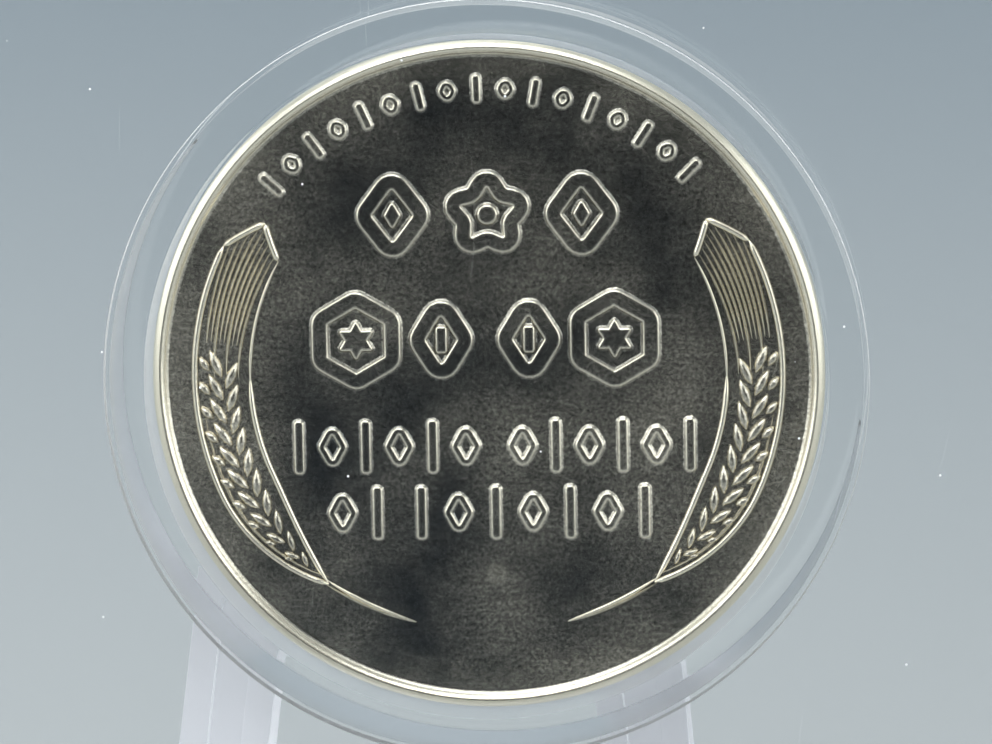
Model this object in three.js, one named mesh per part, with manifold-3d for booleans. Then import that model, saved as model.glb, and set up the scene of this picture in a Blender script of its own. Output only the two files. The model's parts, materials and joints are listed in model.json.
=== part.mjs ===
// A square snap-together coin capsule standing on a small moulded display stand.
// Millimetres, +Z up. The coin faces -Y and leans back with the capsule.
// The origin lies under the middle of the whole object, on the surface it stands on.
import * as THREE from 'three';
import { mergeVertices } from 'three/addons/utils/BufferGeometryUtils.js';
import Module from 'manifold-3d';

const wasm = await Module();
wasm.setup();

// Capsule: a tray-shaped back shell, and a cover set into its front.
const capsuleSide = 50.8;
const capsuleThickness = 6.35;
const capsuleCornerRadius = 3.2;
const cavityCornerRadius = 2.4;
const trayWall = 2.2;
const windowThickness = 1.2;
const windowRecess = 0.5;
const coverGap = 0.2;
const coverBorder = 1.6;
const skirtWall = 1.0;
const pryNotchWidth = 9;
const pryNotchDepth = 0.9;

// Corner pegs on the cover, in sockets on the back shell.
const pegRadius = 1.0;
const pegTipHeight = 0.65;
const pegGap = 0.12;
const socketWall = 0.8;
const socketTopDrop = 1.05;
const socketFloor = 0.3;
const socketGap = 0.3;

// Coin, and the clear ring that centres it between the two windows.
const coinDiameter = 19.05;
const coinThickness = 1.52;
const coinRimWidth = 0.45;
const coinRimSlope = 0.18;
const coinFieldDepth = 0.18;
const coinEdgeRound = 0.12;
const coinGap = 0.1;
const coinSeatGap = 0.15;
const ringWall = 0.98;
const ringGap = 0.15;
const ringSeatDepth = 0.5;
const ringLipWidth = 0.45;
const ringChamfer = 0.15;

// Raised devices on the coin.
const reliefHeight = 0.1;
const reliefRoot = 0.04;
const bigMarkHeight = 2.7;
const bigRowHeights = [4.6, 1.05];
const smallMarkHeight = 1.35;
const smallRowHeights = [-2.0, -3.9];
const arcMarkHeight = 0.85;
const arcMarkRadius = 8.15;
const arcMarkCount = 17;
const arcFirstDegrees = 139;
const arcSpanDegrees = 93;
const earArcRadius = 7.3;
const kernelPairs = 7;
const kernelLength = 1.3;
const kernelWidth = 0.72;
const awnCount = 4;
const awnLength = 3.4;
const awnWidth = 0.16;
const stemLength = 2.6;
const stemWidth = 0.2;
const backStarSize = 9;
const backStarTips = 8;
const backMarkCount = 24;
const backMarkRadius = 7.6;

// Display stand: a base plate, a cradle for the capsule's lower edge, and two prongs behind it.
const leanDegrees = 15;
const standOffset = -1.6;
const standGap = 0.3;
const baseWidth = 24;
const baseThickness = 2.4;
const baseCornerRadius = 3;
const baseFrontReach = 1.2;
const baseRearReach = 16;
const cradleWidth = 22;
const cradleRise = 0.5;
const cradleRearDepth = 3.2;
const lipThickness = 1.8;
const lipHeight = 1.8;
const prongWidth = 2.6;
const prongSpacing = 12;
const prongSpacingHeight = 15.9;
const prongHeight = 27.5;
const prongTopDepth = 2.2;
const prongRootDepth = 4.6;
const prongRootDrop = 1.6;
const prongSplayDegrees = 6;
const fluteWidth = 1.0;
const fluteDepth = 0.6;
const fluteEnd = 2.2;

// Facets round a full circle, and along a quarter-turn corner.
const roundFacets = 72;
const smallFacets = 20;
const cornerFacets = 6;

// How far a cutting or joining solid runs past the face it works on.
const past = 1;
const sunk = 0.2;

const lean = THREE.MathUtils.degToRad(leanDegrees);
const halfThickness = capsuleThickness / 2;
const windowInner = halfThickness - windowRecess - windowThickness;
const cavitySide = capsuleSide - 2 * trayWall;
const coverSide = cavitySide - 2 * coverGap;
const coverCornerRadius = cavityCornerRadius - coverGap;
const recessSide = coverSide - 2 * coverBorder;
const recessCornerRadius = Math.max(coverCornerRadius - coverBorder, 0.5);
const skirtInnerSide = coverSide - 2 * skirtWall;
const skirtInnerRadius = coverCornerRadius - skirtWall;
const coinRadius = coinDiameter / 2;
const ringBoreRadius = coinRadius + coinGap;
const ringRadius = ringBoreRadius + ringWall;
const ringHalfHeight = windowInner + ringSeatDepth - ringGap;
const socketRadius = pegRadius + pegGap + socketWall;
const pegOffset = skirtInnerSide / 2 - socketGap - socketRadius;

// ---- solids ----

function toSolid(geometry) {
  const bare = geometry.clone();
  bare.deleteAttribute('normal');
  bare.deleteAttribute('uv');
  const merged = mergeVertices(bare, 1e-5);
  const index = merged.index.array;
  const kept = [];
  for (let i = 0; i < index.length; i += 3) {
    const [a, b, c] = [index[i], index[i + 1], index[i + 2]];
    if (a !== b && b !== c && c !== a) {
      kept.push(a, b, c);
    }
  }
  return new wasm.Manifold(new wasm.Mesh({
    numProp: 3,
    vertProperties: new Float32Array(merged.attributes.position.array),
    triVerts: new Uint32Array(kept),
  }));
}

function toGeometry(solid) {
  const mesh = solid.getMesh();
  const geometry = new THREE.BufferGeometry();
  geometry.setAttribute('position', new THREE.BufferAttribute(mesh.vertProperties, 3));
  geometry.setIndex(new THREE.BufferAttribute(mesh.triVerts, 1));
  return geometry;
}

function joined(first, ...others) {
  return others.reduce((whole, other) => whole.add(other), first);
}

function cutBy(first, ...others) {
  return others.reduce((whole, other) => whole.subtract(other), first);
}

// A flat outline given thickness from one height to another along its normal.
function plate(shape, low, high, facets = cornerFacets) {
  const settings = { depth: high - low, bevelEnabled: false, curveSegments: facets };
  return toSolid(new THREE.ExtrudeGeometry(shape, settings).translate(0, 0, low));
}

function post(radius, low, high, x = 0, y = 0, facets = roundFacets) {
  const cylinder = new THREE.CylinderGeometry(radius, radius, high - low, facets);
  return toSolid(cylinder.rotateX(Math.PI / 2).translate(x, y, (low + high) / 2));
}

function block(width, depth, height, x, y, z) {
  return toSolid(new THREE.BoxGeometry(width, depth, height).translate(x, y, z));
}

// A profile of [radius, height] pairs turned round the local Z axis.
function turned(pairs) {
  const points = pairs.map(([radius, height]) => new THREE.Vector2(radius, height));
  return toSolid(new THREE.LatheGeometry(points, roundFacets).rotateX(Math.PI / 2));
}

// ---- outlines ----

function roundedRectangle(width, height, radius) {
  const x = width / 2;
  const y = height / 2;
  const shape = new THREE.Shape();
  shape.moveTo(x, -y + radius);
  shape.absarc(x - radius, y - radius, radius, 0, Math.PI / 2, false);
  shape.absarc(-x + radius, y - radius, radius, Math.PI / 2, Math.PI, false);
  shape.absarc(-x + radius, -y + radius, radius, Math.PI, 1.5 * Math.PI, false);
  shape.absarc(x - radius, -y + radius, radius, 1.5 * Math.PI, 2 * Math.PI, false);
  return shape;
}

function outlineOf(points) {
  return new THREE.Shape(points.map(([x, y]) => new THREE.Vector2(x, y)));
}

function lozenge(width, height) {
  return outlineOf([[width / 2, 0], [0, height / 2], [-width / 2, 0], [0, -height / 2]]);
}

function bar(width, height) {
  const x = width / 2;
  const y = height / 2;
  return outlineOf([[x, -y], [x, y], [-x, y], [-x, -y]]);
}

function hexagon(size) {
  const corners = [];
  for (let i = 0; i < 6; i += 1) {
    const angle = (i * Math.PI) / 3 + Math.PI / 6;
    corners.push([0.5 * size * Math.cos(angle), 0.5 * size * Math.sin(angle)]);
  }
  return outlineOf(corners);
}

function star(size, tips) {
  const corners = [];
  for (let i = 0; i < 2 * tips; i += 1) {
    const reach = i % 2 === 0 ? 0.5 * size : 0.23 * size;
    const angle = Math.PI / 2 + (i * Math.PI) / tips;
    corners.push([reach * Math.cos(angle), reach * Math.sin(angle)]);
  }
  return outlineOf(corners);
}

// ---- capsule ----

function makeBackShell() {
  const outer = roundedRectangle(capsuleSide, capsuleSide, capsuleCornerRadius);
  const cavity = roundedRectangle(cavitySide, cavitySide, cavityCornerRadius);
  const recess = roundedRectangle(recessSide, recessSide, recessCornerRadius);
  const seatRadius = ringRadius + ringGap;
  const notchX = capsuleSide / 2 - trayWall / 2;
  const hollow = cutBy(
    plate(outer, -halfThickness, halfThickness),
    plate(cavity, -windowInner, halfThickness + past),
    plate(recess, -halfThickness - past, -halfThickness + windowRecess),
    post(seatRadius, -windowInner - ringSeatDepth, windowInner),
    block(trayWall + 2 * sunk, pryNotchWidth, 2 * pryNotchDepth, notchX, 0, halfThickness),
  );
  return joined(hollow, ...cornerPlaces().map(([x, y]) => makeSocket(x, y)));
}

function makeSocket(x, y) {
  const foot = -windowInner - sunk;
  const top = windowInner - socketTopDrop;
  const boreFloor = -windowInner + socketFloor;
  return cutBy(
    post(socketRadius, foot, top, x, y, smallFacets),
    post(pegRadius + pegGap, boreFloor, top + past, x, y, smallFacets),
  );
}

function makeFrontCover() {
  const outer = roundedRectangle(coverSide, coverSide, coverCornerRadius);
  const recess = roundedRectangle(recessSide, recessSide, recessCornerRadius);
  const inside = roundedRectangle(skirtInnerSide, skirtInnerSide, skirtInnerRadius);
  const skirtFoot = -windowInner + coverGap;
  const hollow = cutBy(
    plate(outer, skirtFoot, halfThickness),
    plate(inside, skirtFoot - past, windowInner),
    plate(recess, halfThickness - windowRecess, halfThickness + past),
    post(ringRadius + ringGap, windowInner - past, windowInner + ringSeatDepth),
  );
  const tip = -windowInner + pegTipHeight;
  const pegs = cornerPlaces().map(([x, y]) => (
    post(pegRadius, tip, windowInner + sunk, x, y, smallFacets)
  ));
  return joined(hollow, ...pegs);
}

function cornerPlaces() {
  return [[1, 1], [-1, 1], [-1, -1], [1, -1]].map(([x, y]) => [x * pegOffset, y * pegOffset]);
}

// ---- coin and ring ----

// The bore has a narrow lip at the back, which the coin's rim rests against.
function makeCoinRing() {
  const lipTop = -coinThickness / 2 - coinSeatGap;
  const lipRadius = ringBoreRadius - ringLipWidth;
  const h = ringHalfHeight;
  return turned([
    [lipRadius, -h],
    [ringRadius - ringChamfer, -h],
    [ringRadius, -h + ringChamfer],
    [ringRadius, h - ringChamfer],
    [ringRadius - ringChamfer, h],
    [ringBoreRadius + ringChamfer, h],
    [ringBoreRadius, h - ringChamfer],
    [ringBoreRadius, lipTop],
    [lipRadius, lipTop],
    [lipRadius, -h],
  ]);
}

function makeCoin() {
  const half = coinThickness / 2;
  const field = half - coinFieldDepth;
  const rimInner = coinRadius - coinRimWidth;
  const edge = coinRadius - coinEdgeRound;
  const blank = turned([
    [0, -field],
    [rimInner - coinRimSlope, -field],
    [rimInner, -half],
    [edge, -half],
    [coinRadius, -half + coinEdgeRound],
    [coinRadius, half - coinEdgeRound],
    [edge, half],
    [rimInner, half],
    [rimInner - coinRimSlope, field],
    [0, field],
  ]);
  return joined(blank, ...frontDevices(field), ...backDevices(field));
}

// One raised mark on the front face, turned in its own plane and moved to its place.
function raised(shape, field, x, y, turn = 0) {
  return plate(shape, field - reliefRoot, field + reliefHeight)
    .rotate([0, 0, THREE.MathUtils.radToDeg(turn)])
    .translate([x, y, 0]);
}

// Marks side by side in one line, centred on x.
function markRow(shapes, field, x, y, pitch) {
  const first = x - (pitch * (shapes.length - 1)) / 2;
  return shapes.map((shape, i) => raised(shape, field, first + i * pitch, y));
}

function alternating(count, height, barFirst) {
  const shapes = [];
  for (let i = 0; i < count; i += 1) {
    const isBar = (i % 2 === 0) === barFirst;
    shapes.push(isBar ? bar(0.35 * height, height) : lozenge(0.68 * height, height));
  }
  return shapes;
}

// Two lines of large marks, two lines of small ones, an arc of small ones and two ears of grain.
function frontDevices(field) {
  const big = bigMarkHeight;
  const small = smallMarkHeight;
  const pitch = 0.82 * small;
  const broad = lozenge(0.72 * big, big);
  const slim = lozenge(0.6 * big, big);
  const sixSided = hexagon(0.94 * big);
  const [upperBig, lowerBig] = bigRowHeights;
  const [upperSmall, lowerSmall] = smallRowHeights;
  return [
    ...markRow([broad, star(big, 5), broad], field, 0, upperBig, big),
    ...markRow([sixSided, slim, slim, sixSided], field, 0, lowerBig, 0.9 * big),
    ...markRow(alternating(5, small, true), field, -2.8 * pitch, upperSmall, pitch),
    ...markRow(alternating(5, small, true), field, 2.8 * pitch, upperSmall, pitch),
    ...markRow(alternating(2, small, false), field, -3.2 * pitch, lowerSmall, pitch),
    ...markRow(alternating(6, small, true), field, 1.2 * pitch, lowerSmall, pitch),
    ...arcMarks(field),
    ...ear(field, 1),
    ...ear(field, -1),
  ];
}

function arcMarks(field) {
  return alternating(arcMarkCount, arcMarkHeight, true).map((shape, i) => {
    const degrees = arcFirstDegrees - (i * arcSpanDegrees) / (arcMarkCount - 1);
    const angle = THREE.MathUtils.degToRad(degrees);
    const x = arcMarkRadius * Math.cos(angle);
    const y = arcMarkRadius * Math.sin(angle);
    return raised(shape, field, x, y, angle - Math.PI / 2);
  });
}

// An ear of grain that follows the coin's edge: awns above, paired kernels below, then a stem.
function ear(field, side) {
  const place = (shape, degrees, radius, tilt) => {
    const angle = THREE.MathUtils.degToRad(degrees);
    const x = side * radius * Math.cos(angle);
    return raised(shape, field, x, radius * Math.sin(angle), side * (angle + tilt));
  };
  const pieces = [];
  for (let i = 0; i < kernelPairs; i += 1) {
    for (const inward of [-1, 1]) {
      const radius = earArcRadius + inward * 0.42 - 0.03 * i;
      pieces.push(place(lozenge(kernelWidth, kernelLength), -4 - i * 6.5, radius, inward * 0.45));
    }
  }
  for (let i = 0; i < awnCount; i += 1) {
    pieces.push(place(bar(awnWidth, awnLength + 0.35 * i), 14, earArcRadius - 0.75 + i * 0.5, 0));
  }
  pieces.push(place(bar(stemWidth, stemLength), -58, earArcRadius - 0.35, -0.12));
  return pieces;
}

// The back face carries a large star inside a circle of small lozenges.
function backDevices(field) {
  const marks = [raised(star(backStarSize, backStarTips), field, 0, 0)];
  for (let i = 0; i < backMarkCount; i += 1) {
    const angle = (i * 2 * Math.PI) / backMarkCount;
    const x = backMarkRadius * Math.cos(angle);
    const y = backMarkRadius * Math.sin(angle);
    marks.push(raised(lozenge(kernelWidth, kernelLength), field, x, y, angle));
  }
  return marks.map((mark) => mark.rotate([0, 180, 0]));
}

// ---- stand ----

// The capsule's middle, above the ground, with its depth still to be centred.
const shelfUp = -capsuleSide / 2 - standGap;
const prongFront = -halfThickness - standGap;
const cradleBack = prongFront - cradleRearDepth;
const shelfLow = shelfUp * Math.cos(lean) + cradleBack * Math.sin(lean);
const capsuleHeight = baseThickness + cradleRise - shelfLow;

// From up-the-capsule and out-of-its-front distances to depth and height over the ground.
function sidePoint(up, out) {
  const y = up * Math.sin(lean) - out * Math.cos(lean);
  const z = capsuleHeight + up * Math.cos(lean) + out * Math.sin(lean);
  return [y, z];
}

// A side outline, of depths and heights, given width across the stand.
function sideways(points, width) {
  const settings = { depth: width, bevelEnabled: false };
  const geometry = new THREE.ExtrudeGeometry(outlineOf(points), settings);
  const across = new THREE.Vector3(1, 0, 0);
  const turn = new THREE.Matrix4().makeBasis(
    new THREE.Vector3(0, 1, 0),
    new THREE.Vector3(0, 0, 1),
    across,
  );
  return toSolid(geometry.translate(0, 0, -width / 2).applyMatrix4(turn));
}

function makeCradle() {
  const front = halfThickness + standGap;
  const lipFront = front + lipThickness;
  const lipTop = shelfUp + standGap + lipHeight;
  const [frontY] = sidePoint(shelfUp, lipFront);
  const [backY] = sidePoint(shelfUp, cradleBack);
  const foot = baseThickness - sunk;
  return sideways([
    [frontY, foot],
    [backY, foot],
    sidePoint(shelfUp, cradleBack),
    sidePoint(shelfUp, front),
    sidePoint(lipTop, front),
    sidePoint(lipTop, lipFront),
    sidePoint(shelfUp, lipFront),
  ], cradleWidth);
}

function makeBase() {
  const [frontY] = sidePoint(shelfUp, halfThickness + standGap + lipThickness);
  const low = frontY - baseFrontReach;
  const depth = baseRearReach - low;
  const outline = roundedRectangle(baseWidth, depth, baseCornerRadius);
  return plate(outline, 0, baseThickness).translate([0, low + depth / 2, 0]);
}

// A tapering prong with a long flute in its front, turned in the plane of the capsule's back.
function makeProng(side) {
  const rootUp = shelfUp - prongRootDrop;
  const topUp = shelfUp + prongHeight;
  const prong = sideways([
    sidePoint(rootUp, prongFront - prongRootDepth),
    sidePoint(topUp, prongFront - prongTopDepth),
    sidePoint(topUp, prongFront),
    sidePoint(rootUp, prongFront),
  ], prongWidth);
  const flute = sideways([
    sidePoint(shelfUp + fluteEnd, prongFront - fluteDepth),
    sidePoint(topUp - fluteEnd, prongFront - fluteDepth),
    sidePoint(topUp - fluteEnd, prongFront + past),
    sidePoint(shelfUp + fluteEnd, prongFront + past),
  ], fluteWidth);
  const [pivotY, pivotZ] = sidePoint(shelfUp + prongSpacingHeight, prongFront);
  return turnedInFace(prong.subtract(flute), side, pivotY, pivotZ)
    .translate([side * prongSpacing / 2, 0, 0]);
}

// Turns a solid by the splay about the capsule's own front-to-back line through a point.
function turnedInFace(solid, side, pivotY, pivotZ) {
  return solid
    .translate([0, -pivotY, -pivotZ])
    .rotate([leanDegrees, 0, 0])
    .rotate([0, -side * prongSplayDegrees, 0])
    .rotate([-leanDegrees, 0, 0])
    .translate([0, pivotY, pivotZ]);
}

function makeStand() {
  return joined(makeBase(), makeCradle(), makeProng(1), makeProng(-1)).translate([standOffset, 0, 0]);
}

// ---- the model ----

const clearPlastic = { color: 0xdfe6ea, roughness: 0.06, metalness: 0, transparent: true, opacity: 0.35 };
const ringPlastic = { color: 0xd3dade, roughness: 0.1, metalness: 0, transparent: true, opacity: 0.45 };
const standPlastic = { color: 0xe4e3f0, roughness: 0.12, metalness: 0, transparent: true, opacity: 0.5 };
const platedSteel = { color: 0x3b3a38, roughness: 0.38, metalness: 1 };

function named(name, solid, finish) {
  const mesh = new THREE.Mesh(toGeometry(solid), new THREE.MeshStandardMaterial(finish));
  mesh.name = name;
  return mesh;
}

const capsule = new THREE.Group();
capsule.add(named('back_shell', makeBackShell(), clearPlastic));
capsule.add(named('front_cover', makeFrontCover(), clearPlastic));
capsule.add(named('coin_ring', makeCoinRing(), ringPlastic));
capsule.add(named('coin', makeCoin(), platedSteel));
capsule.rotation.x = Math.PI / 2 - lean;
capsule.position.z = capsuleHeight;

const model = new THREE.Group();
model.add(capsule);
model.add(named('display_stand', makeStand(), standPlastic));
model.updateMatrixWorld(true);
const extent = new THREE.Box3().setFromObject(model, true);
const middle = extent.getCenter(new THREE.Vector3());
model.position.set(-middle.x, -middle.y, 0);

export default model;
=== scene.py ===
import json
import math

import bmesh
import bpy
import numpy as np
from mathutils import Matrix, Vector


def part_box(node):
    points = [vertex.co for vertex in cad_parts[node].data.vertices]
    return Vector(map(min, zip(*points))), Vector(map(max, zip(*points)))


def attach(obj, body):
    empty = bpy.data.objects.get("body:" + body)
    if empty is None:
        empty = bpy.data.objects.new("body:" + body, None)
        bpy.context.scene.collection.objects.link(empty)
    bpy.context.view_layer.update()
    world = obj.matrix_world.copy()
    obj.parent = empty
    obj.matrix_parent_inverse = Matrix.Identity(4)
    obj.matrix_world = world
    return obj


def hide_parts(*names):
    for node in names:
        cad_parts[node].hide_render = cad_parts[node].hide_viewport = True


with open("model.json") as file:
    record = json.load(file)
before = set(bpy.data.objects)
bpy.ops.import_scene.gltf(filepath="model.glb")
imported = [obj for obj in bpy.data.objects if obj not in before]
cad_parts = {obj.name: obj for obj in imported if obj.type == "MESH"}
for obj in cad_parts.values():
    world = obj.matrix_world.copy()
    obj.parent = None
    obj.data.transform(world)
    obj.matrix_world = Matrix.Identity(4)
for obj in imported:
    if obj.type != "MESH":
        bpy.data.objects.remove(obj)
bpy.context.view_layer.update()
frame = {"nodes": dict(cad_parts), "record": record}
print("frame:", ", ".join(sorted(frame["nodes"])))

# the capsule's own directions, from its joints: up its face, out of its face, and across it
joints = {joint["name"]: joint for joint in frame["record"]["behaviour"]["joints"]}
upWay = np.array(joints["capsule_lift"]["axis"])
outWay = np.array(joints["cover_off"]["axis"])
acrossWay = np.cross(upWay, outWay)
ringLow, ringHigh = (np.array(corner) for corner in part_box("coin_ring"))
middle = (ringLow + ringHigh) / 2
millimetre = 0.001


def toWorld(points):  # capsule millimetres (across, up, out) to metres
    return middle + millimetre * (points @ np.stack([acrossWay, upWay, outWay]))


# outlines and profiles, in millimetres

def softLine(corners, cut, steps=6, flat=0.06):
    # a line through the corners with each inner one rounded: (1-s)^2, 2s(1-s) and s^2 shares of
    # the points before, at and after it; a short flat run either side keeps the shading true
    line = np.array(corners, float)
    cuts = np.broadcast_to(np.array(cut, float), (len(line),))
    share = np.linspace(0, 1, steps)[:, None]
    pieces = [line[:1]]
    for i in range(1, len(line) - 1):
        back = (line[i - 1] - line[i]) / np.linalg.norm(line[i - 1] - line[i])
        ahead = (line[i + 1] - line[i]) / np.linalg.norm(line[i + 1] - line[i])
        first, last = line[i] + back * cuts[i], line[i] + ahead * cuts[i]
        bend = (1 - share) ** 2 * first + 2 * share * (1 - share) * line[i] + share ** 2 * last
        pieces += [(first + back * flat)[None], bend, (last + ahead * flat)[None]]
    return np.concatenate(pieces + [line[-1:]])


def softLoop(corners, cut, steps=6):
    # the same, closed: the line starts and ends half way along its first side
    line = np.array(corners, float)
    start = (line[0] + line[-1]) / 2
    return softLine(np.concatenate([start[None], line, start[None]]), cut, steps)[:-1]


def squareRing(half, corner, runSteps=56, cornerSteps=12):
    # a rounded square: a straight run and a quarter circle, turned four times
    reach = half - corner
    run = np.linspace(-reach, reach, runSteps, endpoint=False)
    turn = np.linspace(0, math.pi / 2, cornerSteps, endpoint=False)
    side = np.stack([np.full(runSteps, half), run], 1)
    bend = reach + corner * np.stack([np.cos(turn), np.sin(turn)], 1)
    quarter = np.concatenate([side, bend])
    quarters = [quarter]
    for _ in range(3):
        quarters.append(np.stack([-quarters[-1][:, 1], quarters[-1][:, 0]], 1))
    return np.concatenate(quarters)


def discRing(radius):
    # a circle with its points in the same directions as a rounded square's, to loft between them
    ring = squareRing(1, 0.1)
    return radius * ring / np.linalg.norm(ring, axis=1, keepdims=True)


def circle(radius, steps):
    # points evenly round a circle
    turn = np.linspace(0, 2 * math.pi, steps, endpoint=False)
    return radius * np.stack([np.cos(turn), np.sin(turn)], 1)


def lifted(ring, height):
    # a flat outline with its height added
    return np.concatenate([ring, np.full((len(ring), 1), height)], 1)


def turnedGrid(profile, steps=192, centre=(0, 0)):
    # every (radius, height) of a profile carried round a circle
    unit = circle(1, steps)
    flat = profile[:, 0][:, None, None] * unit[None] + np.array(centre)
    tall = np.repeat(profile[:, 1][:, None, None], steps, 1)
    return np.concatenate([flat, tall], 2)


def squareGrid(profile, half, corner):
    # every (half side, height) of a profile carried round a rounded square, its corner growing with it
    return np.stack([lifted(squareRing(size, corner + size - half), height) for size, height in profile])


# meshes from grids of points

def closedFaces(rows, columns, wrapped, start):
    # cells of a grid that closes round its columns, and at its ends on itself or with two flat faces
    row = np.arange(rows if wrapped else rows - 1)
    column = np.arange(columns)
    rowGrid, columnGrid = np.meshgrid(row, column, indexing="ij")
    nextRow, nextColumn = (rowGrid + 1) % rows, (columnGrid + 1) % columns
    cells = np.stack([rowGrid * columns + columnGrid, rowGrid * columns + nextColumn,
                      nextRow * columns + nextColumn, nextRow * columns + columnGrid], 2)
    faces = (cells.reshape(-1, 4) + start).tolist()
    if not wrapped:
        faces.append((start + column[::-1]).tolist())
        faces.append((start + (rows - 1) * columns + column).tolist())
    return faces


def makePiece(name, grids, finish, body, node, values, valueName, sharpAngle=40):
    # grids are (points, wrapped) pairs; values holds one number for every point of every grid
    points, faces, start = [], [], 0
    for grid, wrapped in grids:
        rows, columns = grid.shape[:2]
        faces += closedFaces(rows, columns, wrapped, start)
        points.append(grid.reshape(-1, 3))
        start += rows * columns
    local = np.concatenate(points)
    mesh = bpy.data.meshes.new(name)
    mesh.from_pydata(toWorld(local).tolist(), [], faces)
    place = mesh.attributes.new("place", "FLOAT_VECTOR", "POINT")
    place.data.foreach_set("vector", local.astype(np.float32).ravel())
    valued = mesh.attributes.new(valueName, "FLOAT", "POINT")
    valued.data.foreach_set("value", np.concatenate([part.ravel() for part in values]).astype(np.float32))
    faired = bmesh.new()
    faired.from_mesh(mesh)
    bmesh.ops.recalc_face_normals(faired, faces=faired.faces)
    faired.to_mesh(mesh)
    faired.free()
    mesh.polygons.foreach_set("use_smooth", np.ones(len(mesh.polygons), bool))
    mesh.set_sharp_from_angle(angle=math.radians(sharpAngle))
    mesh.materials.append(finish)
    piece = bpy.data.objects.new(name, mesh)
    bpy.context.scene.collection.objects.link(piece)
    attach(piece, body)
    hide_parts(node)
    print(f"{name}: {len(mesh.polygons)} faces")
    return piece


# materials

def linear(hexCode):
    # an sRGB hex colour as linear values
    channels = np.array([int(hexCode[i:i + 2], 16) / 255 for i in (1, 3, 5)])
    curved = np.where(channels <= 0.04045, channels / 12.92, ((channels + 0.055) / 1.055) ** 2.4)
    return (*curved.tolist(), 1.0)


def addNode(tree, kind, settings=None, links=None):
    # settings go to the node, or with a number or socket name to its inputs; links feed its inputs
    node = tree.nodes.new(kind)
    for key, value in (settings or {}).items():
        if isinstance(key, str) and hasattr(node, key):
            setattr(node, key, value)
        else:
            node.inputs[key].default_value = value
    for key, source in (links or {}).items():
        tree.links.new(source, node.inputs[key])
    return node


def newFinish(name):
    # an empty material and its node tree
    finish = bpy.data.materials.new(name)
    finish.use_nodes = True
    finish.node_tree.nodes.clear()
    return finish, finish.node_tree


def finishWith(tree, settings, links):
    # the shader and the output that every finish ends with
    shader = addNode(tree, "ShaderNodeBsdfPrincipled", settings, links)
    addNode(tree, "ShaderNodeOutputMaterial", None, {"Surface": shader.outputs["BSDF"]})


def ramp(tree, source, stops):
    # a colour that runs through (position, colour) stops
    node = addNode(tree, "ShaderNodeValToRGB", None, {"Fac": source})
    elements = node.color_ramp.elements
    while len(elements) < len(stops):
        elements.new(0.5)
    for element, (position, colour) in zip(elements, stops):
        element.position = position
        element.color = colour
    return node.outputs["Color"]


# Struck zinc-plated steel, toned with age: dark and cloudy in the field, bright on the rim and the upper
# edges of the marks, partly as wear that handling and the die burnished and partly as painted highlight.
coinLook = dict(dark="#424648", cloud="#b4afa3", bright="#f6efdb", darkStop=0.31, cloudStop=0.74,
                cloudSize=3.4, grainSize=0.1, grainLow=0.22, grainHigh=0.82, flowLength=0.9,
                flowWidth=0.12, flowShare=0.3, reflectionStart=5.0, reflectionEnd=9.0, reflectionShare=0.22,
                spotPlace=(0.35, -5.68, 0.58), spotSize=0.38, spotCore=0.6, spotShare=0.28,
                edgeRough=0.25, fieldRough=0.27, bump=0.6, bumpDepth=0.000008)


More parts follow.
